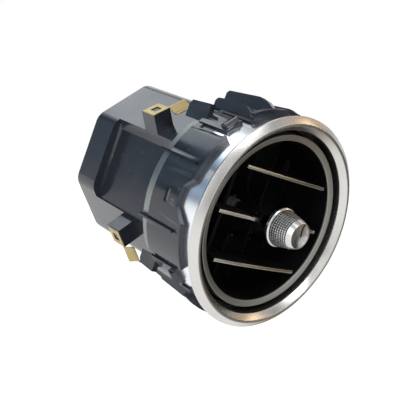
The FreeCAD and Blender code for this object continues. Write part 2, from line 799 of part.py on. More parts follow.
def flap(side):
    """Half of the shut-off flap: side 1 is the upper one, -1 the lower, folded open."""
    limit = flap_corner
    half = flap_half
    end = flap_length
    start = flap_start
    outline = [(-half, start), (half, start), (half, limit - half), (limit - end, end),
               (-(limit - end), end), (-half, limit - half)]
    y = flap_axis_y
    plate = face_of([Vector(x, y - flap_thick / 2, z) for x, z in outline]).extrude(Vector(0, flap_thick, 0))
    plate = plate.cut(rod_x(axle_boss_r + 2 * gap, -reach, reach, y, 0))
    notch = gear_pitch_r + 2 * gap
    plate = plate.cut(rod_x(notch + tooth_rise, -notch, notch, y, 0))
    hub = rod_x(knuckle_r, gear_pitch_r, hub_end, y, 0)
    knuckle = rod_x(knuckle_r, -knuckle_end, -knuckle_start, y, 0)
    body = plate
    for part, x0, x1 in ((hub, gear_pitch_r + knuckle_r, hub_end), (knuckle, -knuckle_end, -knuckle_start)):
        web = block(x0, x1, y - flap_thick / 2, y + flap_thick / 2, axle_r, start + 1)
        body = body.fuse(part).fuse(web)
    body = body.cut(rod_x(axle_r + running, -reach, reach, y, 0))
    if side < 0:
        body.rotate(Vector(0, y, 0), Y_AXIS, 180)
    body.rotate(Vector(0, y, 0), X_AXIS, -side * flap_open)
    return body


def flap_axle():
    return rod_x(axle_r, -axle_half, axle_half, flap_axis_y, 0)


def build():
    os.makedirs("parts", exist_ok=True)
    save("trim_bezel", trim_bezel())
    save("outer_sleeve", outer_sleeve())
    save("inner_trim_ring", inner_trim_ring())
    save("air_barrel", air_barrel())
    save("retaining_collar", retaining_collar())
    save("duct_box", duct_box())
    for index, place in enumerate(clip_places):
        save("spring_clip_%d" % (index + 1), spring_clip(*place))
    for name, z, half in slat_rows():
        save("slat_" + name, slat(name, z, half))
        if name == "centre":
            save("strip_centre_left", centre_strip(half))
            save("strip_centre_right", mirrored_x(centre_strip(half)))
        else:
            save("strip_" + name, bowed_plan(half, slat_front_y, None, z - slat_edge / 2, z + slat_edge / 2))
    save("slat_link", slat_link())
    for index, x in vane_places():
        save("vane_%d" % index, centre_vane() if x == 0 else vane_blade(x))
    save("vane_link", vane_link())
    save("knob_stem", knob_stem())
    save("knob_base", knob_base())
    save("knob_grip", knob_grip())
    save("knob_cap", knob_cap())
    save("knob_shaft", knob_shaft())
    save("middle_shaft", middle_shaft())
    save("drive_shaft", drive_shaft())
    save("bearing_spider", bearing_spider())
    save("bevel_pinion", bevel_pinion())
    save("bevel_gear_upper", gear_on_axle(1))
    save("bevel_gear_lower", gear_on_axle(-1))
    save("flap_upper", flap(1))
    save("flap_lower", flap(-1))
    save("flap_axle", flap_axle())


build()
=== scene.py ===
import json
import math

import bmesh
import bpy
from mathutils import Matrix, Vector

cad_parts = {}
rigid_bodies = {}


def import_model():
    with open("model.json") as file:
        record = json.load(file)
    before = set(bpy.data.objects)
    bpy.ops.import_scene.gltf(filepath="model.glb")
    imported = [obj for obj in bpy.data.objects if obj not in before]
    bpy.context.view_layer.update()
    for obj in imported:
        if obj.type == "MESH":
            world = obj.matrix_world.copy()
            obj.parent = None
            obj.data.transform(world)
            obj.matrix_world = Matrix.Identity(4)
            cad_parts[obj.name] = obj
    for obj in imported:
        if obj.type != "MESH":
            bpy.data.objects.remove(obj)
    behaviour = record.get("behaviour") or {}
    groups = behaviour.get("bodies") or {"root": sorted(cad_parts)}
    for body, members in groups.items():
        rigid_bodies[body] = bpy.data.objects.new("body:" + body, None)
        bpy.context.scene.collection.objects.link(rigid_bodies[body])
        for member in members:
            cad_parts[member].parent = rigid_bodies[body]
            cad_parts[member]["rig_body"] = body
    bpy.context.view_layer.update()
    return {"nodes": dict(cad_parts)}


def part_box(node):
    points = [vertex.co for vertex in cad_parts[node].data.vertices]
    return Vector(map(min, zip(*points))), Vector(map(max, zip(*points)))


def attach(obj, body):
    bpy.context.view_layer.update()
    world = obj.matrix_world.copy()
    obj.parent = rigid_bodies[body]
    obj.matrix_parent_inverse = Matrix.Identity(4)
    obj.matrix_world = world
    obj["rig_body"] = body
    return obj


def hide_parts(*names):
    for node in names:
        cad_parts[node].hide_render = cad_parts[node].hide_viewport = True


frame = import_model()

nodes = frame["nodes"]
scene = bpy.context.scene
scene.view_settings.view_transform = "Standard"
mm = 0.001
print("frame loaded:", len(nodes), "nodes")


# Helpers for node trees

def addInputs(group, inputs):
    for label, kind, value in inputs:
        socket = group.interface.new_socket(name=label, in_out="INPUT", socket_type=kind)
        if value is not None:
            socket.default_value = value


def newGroup(name, inputs, outputs):
    group = bpy.data.node_groups.new(name, "ShaderNodeTree")
    addInputs(group, inputs)
    for label, kind in outputs:
        group.interface.new_socket(name=label, in_out="OUTPUT", socket_type=kind)
    return group, group.nodes.new("NodeGroupInput"), group.nodes.new("NodeGroupOutput")


def feed(tree, socket, value):
    if isinstance(value, bpy.types.NodeSocket):
        tree.links.new(value, socket)
    else:
        socket.default_value = value


def addNode(tree, kind, settings=None, **inputs):
    node = tree.nodes.new(kind)
    for key, value in (settings or {}).items():
        setattr(node, key, value)
    for label, value in inputs.items():
        feed(tree, node.inputs[label.replace("_", " ")], value)
    return node


def math2(tree, operation, first, second):
    node = addNode(tree, "ShaderNodeMath", {"operation": operation})
    feed(tree, node.inputs[0], first)
    feed(tree, node.inputs[1], second)
    return node.outputs[0]


def mixColour(tree, factor, first, second):
    mix = addNode(tree, "ShaderNodeMix", {"data_type": "RGBA"}, Factor=factor)
    feed(tree, mix.inputs[6], first)
    feed(tree, mix.inputs[7], second)
    return mix.outputs[2]


def acrossSquare(tree, vector):
    square = math2(tree, "MULTIPLY", vector.outputs["X"], vector.outputs["X"])
    return math2(tree, "ADD", square, math2(tree, "MULTIPLY", vector.outputs["Z"], vector.outputs["Z"]))


# Shader groups, each built once

def buildToneDrift():
    wear = {"wideDetail": 3.0, "wideShare": 0.7, "fineScale": 900.0, "fineDetail": 2.0, "fineShare": 0.3,
            "spreadStart": 0.3, "spreadEnd": 0.7}
    speck = {"scale": 520.0, "detail": 1.0, "start": 0.72, "end": 0.78, "colour": (0.30, 0.31, 0.33, 1)}
    group, start, end = newGroup("toneDrift", [
        ("Vector", "NodeSocketVector", None), ("Colour", "NodeSocketColor", (0.5, 0.5, 0.5, 1)),
        ("Second", "NodeSocketColor", (0.4, 0.4, 0.4, 1)), ("Scale", "NodeSocketFloat", 60.0),
        ("Smooth", "NodeSocketFloat", 0.3), ("Rough", "NodeSocketFloat", 0.5),
        ("Dust", "NodeSocketFloat", 0.0)],
        [("Colour", "NodeSocketColor"), ("Roughness", "NodeSocketFloat")])
    place = start.outputs["Vector"]
    wide = addNode(group, "ShaderNodeTexNoise", Vector=place, Scale=start.outputs["Scale"],
                   Detail=wear["wideDetail"])
    drift = mixColour(group, wide.outputs["Fac"], start.outputs["Colour"], start.outputs["Second"])
    fine = addNode(group, "ShaderNodeTexNoise", Vector=place, Scale=wear["fineScale"],
                   Detail=wear["fineDetail"])
    both = math2(group, "ADD", math2(group, "MULTIPLY", wide.outputs["Fac"], wear["wideShare"]),
                 math2(group, "MULTIPLY", fine.outputs["Fac"], wear["fineShare"]))
    spread = addNode(group, "ShaderNodeMapRange", Value=both, From_Min=wear["spreadStart"],
                     From_Max=wear["spreadEnd"], To_Min=start.outputs["Smooth"],
                     To_Max=start.outputs["Rough"])
    grit = addNode(group, "ShaderNodeTexNoise", Vector=place, Scale=speck["scale"],
                   Detail=speck["detail"])
    specks = addNode(group, "ShaderNodeMapRange", Value=grit.outputs["Fac"], From_Min=speck["start"],
                     From_Max=speck["end"])
    dusty = math2(group, "MULTIPLY", specks.outputs[0], start.outputs["Dust"])
    group.links.new(mixColour(group, dusty, drift, speck["colour"]), end.inputs["Colour"])
    group.links.new(spread.outputs[0], end.inputs["Roughness"])
    return group


def buildMouldGrain():
    mould = {"detail": 2.0, "roughness": 0.6, "rippleScale": 70.0, "rippleDetail": 1.0}
    group, start, end = newGroup("mouldGrain", [
        ("Vector", "NodeSocketVector", None), ("Scale", "NodeSocketFloat", 1400.0),
        ("Ripple", "NodeSocketFloat", 0.3)], [("Height", "NodeSocketFloat")])
    place = start.outputs["Vector"]
    grain = addNode(group, "ShaderNodeTexNoise", Vector=place, Scale=start.outputs["Scale"],
                    Detail=mould["detail"], Roughness=mould["roughness"])
    ripple = addNode(group, "ShaderNodeTexNoise", Vector=place, Scale=mould["rippleScale"],
                     Detail=mould["rippleDetail"])
    height = math2(group, "ADD", grain.outputs["Fac"],
                   math2(group, "MULTIPLY", ripple.outputs["Fac"], start.outputs["Ripple"]))
    group.links.new(height, end.inputs["Height"])
    return group


def buildSpunLines():
    lineDetail = 3.0
    group, start, end = newGroup("spunLines", [
        ("Vector", "NodeSocketVector", None), ("Scale", "NodeSocketFloat", 2500.0)],
        [("Height", "NodeSocketFloat")])
    parts = addNode(group, "ShaderNodeSeparateXYZ", Vector=start.outputs["Vector"])
    radius = math2(group, "SQRT", acrossSquare(group, parts), 0.0)
    along = math2(group, "ADD", radius, parts.outputs["Y"])
    along = math2(group, "MULTIPLY", along, start.outputs["Scale"])
    lines = addNode(group, "ShaderNodeTexNoise", {"noise_dimensions": "1D"}, W=along, Scale=1.0,
                    Detail=lineDetail)
    group.links.new(lines.outputs["Fac"], end.inputs["Height"])
    return group


# Painted shade: a share that rises smoothly along Y, used to darken the rear of a part
def buildBackFade():
    group, start, end = newGroup("backPaintedShade", [
        ("Vector", "NodeSocketVector", None), ("Start Y", "NodeSocketFloat", 0.02),
        ("End Y", "NodeSocketFloat", 0.03)], [("Share", "NodeSocketFloat")])
    parts = addNode(group, "ShaderNodeSeparateXYZ", Vector=start.outputs["Vector"])
    share = addNode(group, "ShaderNodeMapRange", {"interpolation_type": "SMOOTHSTEP"},
                    Value=parts.outputs["Y"], From_Min=start.outputs["Start Y"],
                    From_Max=start.outputs["End Y"])
    group.links.new(share.outputs[0], end.inputs["Share"])
    return group


backPaintedShade = buildBackFade()
toneDrift = buildToneDrift()
mouldGrain = buildMouldGrain()
spunLines = buildSpunLines()


def finishMaterial(name, look):
    material = bpy.data.materials.new(name)
    material.use_nodes = True
    tree = material.node_tree
    shader = tree.nodes["Principled BSDF"]
    place = tree.nodes.new("ShaderNodeTexCoord").outputs["Object"]
    tone = addNode(tree, "ShaderNodeGroup", {"node_tree": toneDrift}, Vector=place,
                   Colour=(*look["colour"], 1), Second=(*look["second"], 1), Scale=look["driftScale"],
                   Smooth=look["smooth"], Rough=look["rough"], Dust=look.get("dust", 0.0))
    colour, roughness = tone.outputs["Colour"], tone.outputs["Roughness"]
    # Painted shade: the rear is mixed towards the darker back colour, and is also made rougher
    if "back" in look:
        share = addNode(tree, "ShaderNodeGroup", {"node_tree": backPaintedShade}, Vector=place,
                        Start_Y=look["backStart"] * mm, End_Y=look["backEnd"] * mm).outputs["Share"]
        colour = mixColour(tree, share, colour, (*look["back"], 1))
        roughness = math2(tree, "ADD", roughness, math2(tree, "MULTIPLY", share, look["backRough"]))
    tree.links.new(colour, shader.inputs["Base Color"])
    tree.links.new(roughness, shader.inputs["Roughness"])
    if "spun" in look:
        height = addNode(tree, "ShaderNodeGroup", {"node_tree": spunLines}, Vector=place,
                         Scale=look["spun"])
    else:
        height = addNode(tree, "ShaderNodeGroup", {"node_tree": mouldGrain}, Vector=place,
                         Scale=look["grain"], Ripple=look["ripple"])
    bump = addNode(tree, "ShaderNodeBump", Height=height.outputs["Height"], Strength=look["bump"],
                   Distance=look["depth"] * mm)
    tree.links.new(bump.outputs["Normal"], shader.inputs["Normal"])
    shader.inputs["Metallic"].default_value = look["metallic"]
    shader.inputs["Specular IOR Level"].default_value = look.get("specular", 0.5)
    return material


finishes = {
    "satinSilver": {"colour": (0.56, 0.555, 0.54), "second": (0.50, 0.495, 0.48), "driftScale": 40.0,
                    "smooth": 0.255, "rough": 0.28, "spun": 2600.0, "bump": 0.05, "depth": 0.01,
                    "metallic": 1.0},
    "greySilver": {"colour": (0.33, 0.33, 0.31), "second": (0.28, 0.28, 0.26), "driftScale": 40.0,
                   "smooth": 0.36, "rough": 0.48, "spun": 2600.0, "bump": 0.08, "depth": 0.01,
                   "metallic": 1.0},
    # The bright sleeve's rear is darkened towards the back colour, painted shade where it sits recessed
    # between the collar and the box; it is also rougher there
    "brightSilver": {"colour": (0.80, 0.82, 0.85), "second": (0.70, 0.73, 0.77), "driftScale": 35.0,
                     "smooth": 0.16, "rough": 0.28, "spun": 1500.0, "bump": 0.08, "depth": 0.01,
                     "metallic": 1.0, "back": (0.24, 0.26, 0.25), "backStart": 17.0, "backEnd": 21.5,
                     "backRough": 0.2},
    "boxBlack": {"colour": (0.012, 0.015, 0.021), "second": (0.030, 0.037, 0.052),
                 "driftScale": 45.0, "smooth": 0.10, "rough": 0.26, "grain": 1300.0, "ripple": 2.0,
                 "bump": 0.18, "depth": 0.06, "metallic": 0.0, "specular": 0.55, "dust": 0.2},
    "collarBlack": {"colour": (0.011, 0.014, 0.020), "second": (0.024, 0.031, 0.046),
                    "driftScale": 50.0, "smooth": 0.08, "rough": 0.22, "grain": 1500.0,
                    "ripple": 1.6, "bump": 0.16, "depth": 0.05, "metallic": 0.0, "specular": 0.55,
                    "dust": 0.15},
    # Interior black plastic, made far darker and less shiny than the outer plastics: the extra darkness is
    # painted shade for the inside of the vent
    "insideBlackPaintedShade": {"colour": (0.002, 0.002, 0.0022), "second": (0.004, 0.004, 0.0043),
                    "driftScale": 60.0, "smooth": 0.45, "rough": 0.60, "grain": 1500.0,
                    "ripple": 0.6, "bump": 0.2, "depth": 0.04, "metallic": 0.0, "specular": 0.12},
    "stripSilver": {"colour": (0.56, 0.55, 0.49), "second": (0.46, 0.45, 0.40), "driftScale": 90.0,
                    "smooth": 0.16, "rough": 0.28, "grain": 1800.0, "ripple": 0.3, "bump": 0.1,
                    "depth": 0.02, "metallic": 1.0},
    "knobSilver": {"colour": (0.58, 0.58, 0.57), "second": (0.50, 0.50, 0.50), "driftScale": 120.0,
                   "smooth": 0.20, "rough": 0.30, "spun": 3200.0, "bump": 0.06, "depth": 0.005,
                   "metallic": 1.0},
    "studSilver": {"colour": (0.72, 0.72, 0.72), "second": (0.62, 0.62, 0.63), "driftScale": 200.0,
                   "smooth": 0.16, "rough": 0.28, "grain": 2500.0, "ripple": 0.2, "bump": 0.1,
                   "depth": 0.01, "metallic": 1.0},
    # Knob grip core: dark between the silver studs, painted shade for the grooves of the knurl
    "gripGroovePaintedShade": {"colour": (0.03, 0.03, 0.033), "second": (0.05, 0.05, 0.055), "driftScale": 200.0,
                 "smooth": 0.35, "rough": 0.5, "grain": 2500.0, "ripple": 0.2, "bump": 0.2,
                 "depth": 0.02, "metallic": 0.0},
    "pointerDark": {"colour": (0.006, 0.006, 0.006), "second": (0.010, 0.010, 0.010),
                    "driftScale": 300.0, "smooth": 0.4, "rough": 0.55, "grain": 2500.0,
                    "ripple": 0.2, "bump": 0.1, "depth": 0.01, "metallic": 0.0, "specular": 0.15},
    "springBrass": {"colour": (0.42, 0.34, 0.16), "second": (0.33, 0.26, 0.12), "driftScale": 150.0,
                    "smooth": 0.24, "rough": 0.36, "grain": 1200.0, "ripple": 0.8, "bump": 0.1,
                    "depth": 0.01, "metallic": 1.0},
    "gearWhite": {"colour": (0.30, 0.295, 0.27), "second": (0.24, 0.235, 0.21), "driftScale": 80.0,
                  "smooth": 0.35, "rough": 0.5, "grain": 1500.0, "ripple": 0.4, "bump": 0.15,
                  "depth": 0.03, "metallic": 0.0},
    "steelRod": {"colour": (0.55, 0.55, 0.56), "second": (0.45, 0.45, 0.46), "driftScale": 120.0,
                 "smooth": 0.2, "rough": 0.35, "grain": 1800.0, "ripple": 0.2, "bump": 0.15,
                 "depth": 0.02, "metallic": 1.0},
}
materials = {name: finishMaterial(name, look) for name, look in finishes.items()}
print("finishes built:", len(materials))


# Every carried-over node gets its finish

nodeFinish = {"trim_bezel": "satinSilver", "inner_trim_ring": "greySilver", "outer_sleeve": "brightSilver",
              "duct_box": "boxBlack", "retaining_collar": "collarBlack", "knob_base": "knobSilver",
              "knob_cap": "knobSilver", "knob_grip": "gripGroovePaintedShade", "knob_shaft": "steelRod",
              "flap_axle": "steelRod", "middle_shaft": "gearWhite", "drive_shaft": "gearWhite",
              "bevel_pinion": "gearWhite", "bevel_gear_upper": "gearWhite",
              "bevel_gear_lower": "gearWhite"}
for name, node in nodes.items():
    finish = nodeFinish.get(name)
    if finish is None:
        # Spring clips get brass and strips silver; the rest are interior parts, in the black darkened with
        # painted shade
        finish = "springBrass" if name.startswith("spring_clip") else "insideBlackPaintedShade"
        finish = "stripSilver" if name.startswith("strip_") else finish
    node.data.materials.clear()
    node.data.materials.append(materials[finish])


# Pieces made here

def addPiece(name, mesh, body, finish, replaced=(), smoothAngle=35.0):
    mesh.name = name
    piece = bpy.data.objects.new(name, mesh)
    scene.collection.objects.link(piece)
    mesh.materials.clear()
    mesh.materials.append(materials[finish])
    if smoothAngle:
        mesh.shade_smooth()
        mesh.set_sharp_from_angle(angle=math.radians(smoothAngle))
    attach(piece, body)
    if replaced:
        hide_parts(*replaced)


def meshFrom(made, name):
    mesh = bpy.data.meshes.new(name)
    made.to_mesh(mesh)
    made.free()
    return mesh


def baked(carrier):
    graph = bpy.context.evaluated_depsgraph_get()
    mesh = bpy.data.meshes.new_from_object(carrier.evaluated_get(graph))
    bpy.data.objects.remove(carrier)
    return mesh


def joinRings(made, here, following):
    count = len(here)
    for i in range(count):
        j = (i + 1) % count
        made.faces.new((here[i], here[j], following[j], following[i]))


def rounded(profile):
    arc = {"steps": 4, "straight": 175, "reach": 0.48}
    points = []  # each profile corner is (radius, y, rounding)
    count = len(profile)
    for i, (r, y, fillet) in enumerate(profile):
        here = Vector((r, y))
        before = Vector(profile[i - 1][:2]) - here
        after = Vector(profile[(i + 1) % count][:2]) - here
        turn = before.angle(after) if fillet else 0
        if not fillet or turn > math.radians(arc["straight"]):
            points.append((r, y))
            continue
        cut = min(fillet / math.tan(turn / 2), before.length * arc["reach"], after.length * arc["reach"])
        first = here + before.normalized() * cut
        last = here + after.normalized() * cut
        for k in range(arc["steps"] + 1):
            t = k / arc["steps"]
            spot = first * (1 - t) ** 2 + here * 2 * t * (1 - t) + last * t ** 2
            points.append((spot.x, spot.y))
    return points


def lathe(profile, segments):
    weld = 1e-7
    made = bmesh.new()
    rings = []
    for k in range(segments):
        angle = 2 * math.pi * k / segments
        rings.append([made.verts.new((r * mm * math.cos(angle), y * mm, r * mm * math.sin(angle)))
                      for r, y in profile])
    for here, following in zip(rings, rings[1:] + rings[:1]):
        joinRings(made, here, following)
    bmesh.ops.remove_doubles(made, verts=made.verts, dist=weld)
    bmesh.ops.dissolve_degenerate(made, edges=made.edges, dist=weld)
    bmesh.ops.recalc_face_normals(made, faces=made.faces)
    return meshFrom(made, "lathe")


def softened(node, finish, corner):
    soft = {"weld": 2e-6, "level": 1.5, "room": 2.1, "cornerAngle": 28, "bevelSteps": 2, "bevelShape": 0.5,
            "sharpAngle": 40, "faceWeight": 100}
    made = bmesh.new()  # a node's own mesh, joined up; its sharp edges are rounded where there is room
    made.from_mesh(nodes[node].data)
    bmesh.ops.remove_doubles(made, verts=made.verts, dist=soft["weld"])
    bmesh.ops.dissolve_degenerate(made, edges=made.edges, dist=soft["weld"])
    bmesh.ops.dissolve_limit(made, angle_limit=math.radians(soft["level"]), verts=made.verts,
                             edges=made.edges)
    tooShort = soft["room"] * corner * mm
    crowded = {vert for edge in made.edges if edge.calc_length() < tooShort for vert in edge.verts}
    cornerAngle = math.radians(soft["cornerAngle"])
    sharp = [edge for edge in made.edges if len(edge.link_faces) == 2 and
             edge.calc_face_angle(0) > cornerAngle and not crowded.intersection(edge.verts)]
    bmesh.ops.bevel(made, geom=sharp, offset=corner * mm, segments=soft["bevelSteps"],
                    profile=soft["bevelShape"], affect="EDGES", clamp_overlap=True)
    bmesh.ops.recalc_face_normals(made, faces=made.faces)
    mesh = meshFrom(made, node)
    mesh.shade_smooth()
    mesh.set_sharp_from_angle(angle=math.radians(soft["sharpAngle"]))
    carrier = bpy.data.objects.new("carrier", mesh)
    scene.collection.objects.link(carrier)
    weigh = carrier.modifiers.new("weigh", "WEIGHTED_NORMAL")
    weigh.weight = soft["faceWeight"]
    weigh.keep_sharp = True
    body = nodes[node]["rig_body"]
    addPiece(node + "Soft", baked(carrier), body, finish, [node], smoothAngle=None)


# Geometry groups, each turned into a plain mesh

def newGrowth(name, inputs):
    group = bpy.data.node_groups.new(name, "GeometryNodeTree")
    group.interface.new_socket(name="Geometry", in_out="OUTPUT", socket_type="NodeSocketGeometry")
    addInputs(group, inputs)
    return group, group.nodes.new("NodeGroupInput").outputs, group.nodes.new("NodeGroupOutput").inputs


def finishGrowth(group, geometry, material, result):
    real = addNode(group, "GeometryNodeRealizeInstances", Geometry=geometry)
    dressed = addNode(group, "GeometryNodeSetMaterial", Geometry=real.outputs[0], Material=material)
    group.links.new(dressed.outputs[0], result)


def grow(group, values):
    carrier = bpy.data.objects.new("carrier", bpy.data.meshes.new("carrier"))
    scene.collection.objects.link(carrier)
    modifier = carrier.modifiers.new("grow", "NODES")
    modifier.node_group = group
    for item in group.interface.items_tree:
        if item.in_out == "INPUT":
            modifier[item.identifier] = values[item.name]
    return baked(carrier)


def buildStudGrowth():
    crease = 0.55
    group, start, end = newGrowth("studGrowth", [
        ("Around", "NodeSocketInt", 44), ("Rows", "NodeSocketInt", 7),
        ("Foot Radius", "NodeSocketFloat", 0.008), ("Tip Radius", "NodeSocketFloat", 0.0065),
        ("Length", "NodeSocketFloat", 0.006), ("Foot Y", "NodeSocketFloat", 0.0),
        ("Width", "NodeSocketFloat", 0.001), ("Rise", "NodeSocketFloat", 0.0005),
        ("Material", "NodeSocketMaterial", None)])
    spans = math2(group, "SUBTRACT", start["Rows"], 1)
    cone = addNode(group, "GeometryNodeMeshCone", {"fill_type": "NONE"}, Vertices=start["Around"],
                   Side_Segments=spans, Radius_Top=start["Tip Radius"],
                   Radius_Bottom=start["Foot Radius"], Depth=start["Length"])
    foot = addNode(group, "ShaderNodeCombineXYZ", Y=start["Foot Y"])
    laid = addNode(group, "GeometryNodeTransform", Geometry=cone.outputs["Mesh"],
                   Translation=foot.outputs[0], Rotation=(math.pi / 2, 0, 0))
    normal = group.nodes.new("GeometryNodeInputNormal")
    turn = addNode(group, "FunctionNodeAxesToRotation", {"primary_axis": "Z", "secondary_axis": "Y"},
                   Primary_Axis=normal.outputs[0], Secondary_Axis=(0, 1, 0))
    position = group.nodes.new("GeometryNodeInputPosition").outputs[0]
    place = addNode(group, "ShaderNodeSeparateXYZ", Vector=position)
    radius = math2(group, "SQRT", acrossSquare(group, place), 0.0)
    share = math2(group, "DIVIDE", radius, start["Foot Radius"])
    size = addNode(group, "ShaderNodeCombineXYZ", X=share, Y=1.0, Z=1.0)
    shape = addNode(group, "ShaderNodeCombineXYZ", X=start["Width"], Y=start["Width"], Z=start["Rise"])
    cube = addNode(group, "GeometryNodeMeshCube", Size=shape.outputs[0])
    stud = addNode(group, "GeometryNodeSubdivisionSurface", Mesh=cube.outputs["Mesh"], Level=1,
                   Edge_Crease=crease)
    spread = addNode(group, "GeometryNodeInstanceOnPoints", Points=laid.outputs[0],
                     Instance=stud.outputs[0], Rotation=turn.outputs[0], Scale=size.outputs[0])
    finishGrowth(group, spread.outputs[0], start["Material"], end["Geometry"])
    return group


def buildStripGrowth():
    steps = {"arc": 33, "corner": 3}
    group, start, end = newGrowth("stripGrowth", [
        ("Half", "NodeSocketFloat", 0.03), ("Front Y", "NodeSocketFloat", 0.0),
        ("Bow", "NodeSocketFloat", 0.001), ("Middle Z", "NodeSocketFloat", 0.0),
        ("Height", "NodeSocketFloat", 0.0015), ("Depth", "NodeSocketFloat", 0.0013),
        ("Round", "NodeSocketFloat", 0.0003), ("Material", "NodeSocketMaterial", None)])
    middleY = math2(group, "ADD", start["Front Y"], math2(group, "MULTIPLY", start["Depth"], 0.5))
    endY = math2(group, "ADD", middleY, start["Bow"])
    left = addNode(group, "ShaderNodeCombineXYZ", X=math2(group, "MULTIPLY", start["Half"], -1.0), Y=endY,
                   Z=start["Middle Z"])
    middle = addNode(group, "ShaderNodeCombineXYZ", X=0.0, Y=middleY, Z=start["Middle Z"])
    right = addNode(group, "ShaderNodeCombineXYZ", X=start["Half"], Y=endY, Z=start["Middle Z"])
    arc = addNode(group, "GeometryNodeCurveArc", {"mode": "POINTS"}, Resolution=steps["arc"],
                  Start=left.outputs[0], Middle=middle.outputs[0], End=right.outputs[0])
    upright = addNode(group, "GeometryNodeSetCurveNormal", {"mode": "Z_UP"}, Curve=arc.outputs["Curve"])
    section = addNode(group, "GeometryNodeCurvePrimitiveQuadrilateral", Width=start["Depth"],
                      Height=start["Height"])
    soft = addNode(group, "GeometryNodeFilletCurve", {"mode": "POLY"}, Curve=section.outputs["Curve"],
                   Count=steps["corner"], Radius=start["Round"], Limit_Radius=True)
    swept = addNode(group, "GeometryNodeCurveToMesh", Curve=upright.outputs[0],
                    Profile_Curve=soft.outputs[0], Fill_Caps=True)
    finishGrowth(group, swept.outputs[0], start["Material"], end["Geometry"])
    return group


studGrowth = buildStudGrowth()
stripGrowth = buildStripGrowth()
print("geometry groups built")


def makeBezel():
    size = {"rimBack": 47.4, "rimEdge": 48.38, "edgeFoot": -0.5, "rimFront": -1.4, "crest": 45.0,
            "crestHalf": 0.55, "crestFront": -3.5, "funnel": 42.1, "funnelFront": -0.7, "skirt": 8.0,
            "sleeve": 43.0, "backRound": 0.25, "footRound": 0.3, "frontRound": 0.5, "crestRound": 0.7,
            "funnelRound": 0.6, "skirtRound": 0.2, "segments": 192}
    mesh = lathe(rounded([
        (size["rimBack"], 0.0, size["backRound"]), (size["rimEdge"], size["edgeFoot"], size["footRound"]),
        (size["rimEdge"], size["rimFront"], size["frontRound"]),
        (size["crest"] + size["crestHalf"], size["crestFront"], size["crestRound"]),
        (size["crest"] - size["crestHalf"], size["crestFront"], size["crestRound"]),
        (size["funnel"], size["funnelFront"], size["funnelRound"]),
        (size["funnel"], size["skirt"], size["skirtRound"]),
        (size["sleeve"], size["skirt"], size["skirtRound"]),
        (size["sleeve"], 0.0, 0)]), size["segments"])
    addPiece("bezelRing", mesh, "housing", "satinSilver", ["trim_bezel"])


def makeTrimRing():
    size = {"outer": 39.7, "inner": 36.9, "front": 0.9, "innerFront": 1.8, "back": 2.6, "skirt": 6.0,
            "barrel": 38.85, "frontRound": 0.35, "innerRound": 0.3, "backRound": 0.1, "skirtRound": 0.2,
            "segments": 192}
    mesh = lathe(rounded([
        (size["outer"], size["front"], size["frontRound"]),
        (size["inner"], size["innerFront"], size["innerRound"]),
        (size["inner"], size["back"], size["backRound"]), (size["barrel"], size["back"], 0),
        (size["barrel"], size["skirt"], 0), (size["outer"], size["skirt"], size["skirtRound"])]),
        size["segments"])
    addPiece("trimRing", mesh, "housing", "greySilver", ["inner_trim_ring"])


def makeKnobFlange(size):
    turns = {"back": 0.7, "front": 0.6, "step": 0.2}
    mesh = lathe(rounded([
        (size["bore"], size["flangeBack"], 0), (size["flange"], size["flangeBack"], turns["back"]),
        (size["flange"], size["flangeFront"] + size["flangeSlope"], turns["front"]),
        (size["gripFoot"] + size["flangeStep"], size["flangeFront"], turns["step"]),
        (size["bore"], size["flangeFront"], 0)]), size["segments"])
    addPiece("knobFlange", mesh, "knob", "knobSilver", ["knob_base"])


def dishY(size, radius):
    share = min(radius, size["dishRadius"]) / size["dishRadius"]
    return size["capFront"] + size["dish"] * (1 - share ** 2)


def makeKnobCap(size):
    turns = {"back": 0.25, "shoulder": 0.5, "lip": 0.25}
    dishLine = []
    for k in range(size["dishSteps"], -1, -1):
        radius = size["dishRadius"] * k / size["dishSteps"]
        dishLine.append((radius, dishY(size, radius), 0))
    mesh = lathe(rounded([
        (0, size["gripFront"], 0), (size["capBack"], size["gripFront"], turns["back"]),
        (size["capBack"], size["gripFront"] - size["shoulder"], turns["shoulder"]),
        (size["capFace"], size["capFront"], turns["lip"])] + dishLine), size["segments"])
    addPiece("knobCap", mesh, "knob", "knobSilver", ["knob_cap"], smoothAngle=50.0)


def makeKnobPointer(size):
    line = {"half": 0.42, "foot": -0.9, "tip": 5.4, "side": 1.5, "turn": -16.0, "steps": 9, "rise": 0.06,
            "depth": 0.3}
    made = bmesh.new()  # a dark line across the dish, beside its middle and up to the rim
    rings = []
    left = line["side"] - line["half"]
    right = line["side"] + line["half"]
    for k in range(line["steps"] + 1):
        along = line["foot"] + (line["tip"] - line["foot"]) * k / line["steps"]
        front = dishY(size, math.hypot(along, line["side"])) - line["rise"]
        back = front + line["depth"]
        rings.append([made.verts.new((side * mm, y * mm, along * mm)) for side, y in
                      ((left, front), (right, front), (right, back), (left, back))])
    for here, following in zip(rings, rings[1:]):
        joinRings(made, here, following)
    made.faces.new(rings[0])
    made.faces.new(reversed(rings[-1]))
    turned = Matrix.Rotation(math.radians(line["turn"]), 3, "Y")
    bmesh.ops.rotate(made, verts=made.verts, cent=(0, 0, 0), matrix=turned)
    bmesh.ops.recalc_face_normals(made, faces=made.faces)
    addPiece("knobPointer", meshFrom(made, "pointer"), "knob", "pointerDark")


def makeKnobStuds(size):
    studs = {"around": 44, "rows": 7, "margin": 0.55, "width": 1.10, "rise": 0.75}
    taper = (size["gripFoot"] - size["gripTip"]) / (size["flangeFront"] - size["gripFront"])
    length = size["flangeFront"] - size["gripFront"] - 2 * studs["margin"]
    mesh = grow(studGrowth, {
        "Around": studs["around"], "Rows": studs["rows"],
        "Foot Radius": (size["gripFoot"] - studs["margin"] * taper) * mm,
        "Tip Radius": (size["gripTip"] + studs["margin"] * taper) * mm, "Length": length * mm,
        "Foot Y": (size["flangeFront"] - studs["margin"]) * mm, "Width": studs["width"] * mm,
        "Rise": studs["rise"] * mm, "Material": materials["studSilver"]})
    addPiece("knobStuds", mesh, "knob", "studSilver", smoothAngle=60.0)


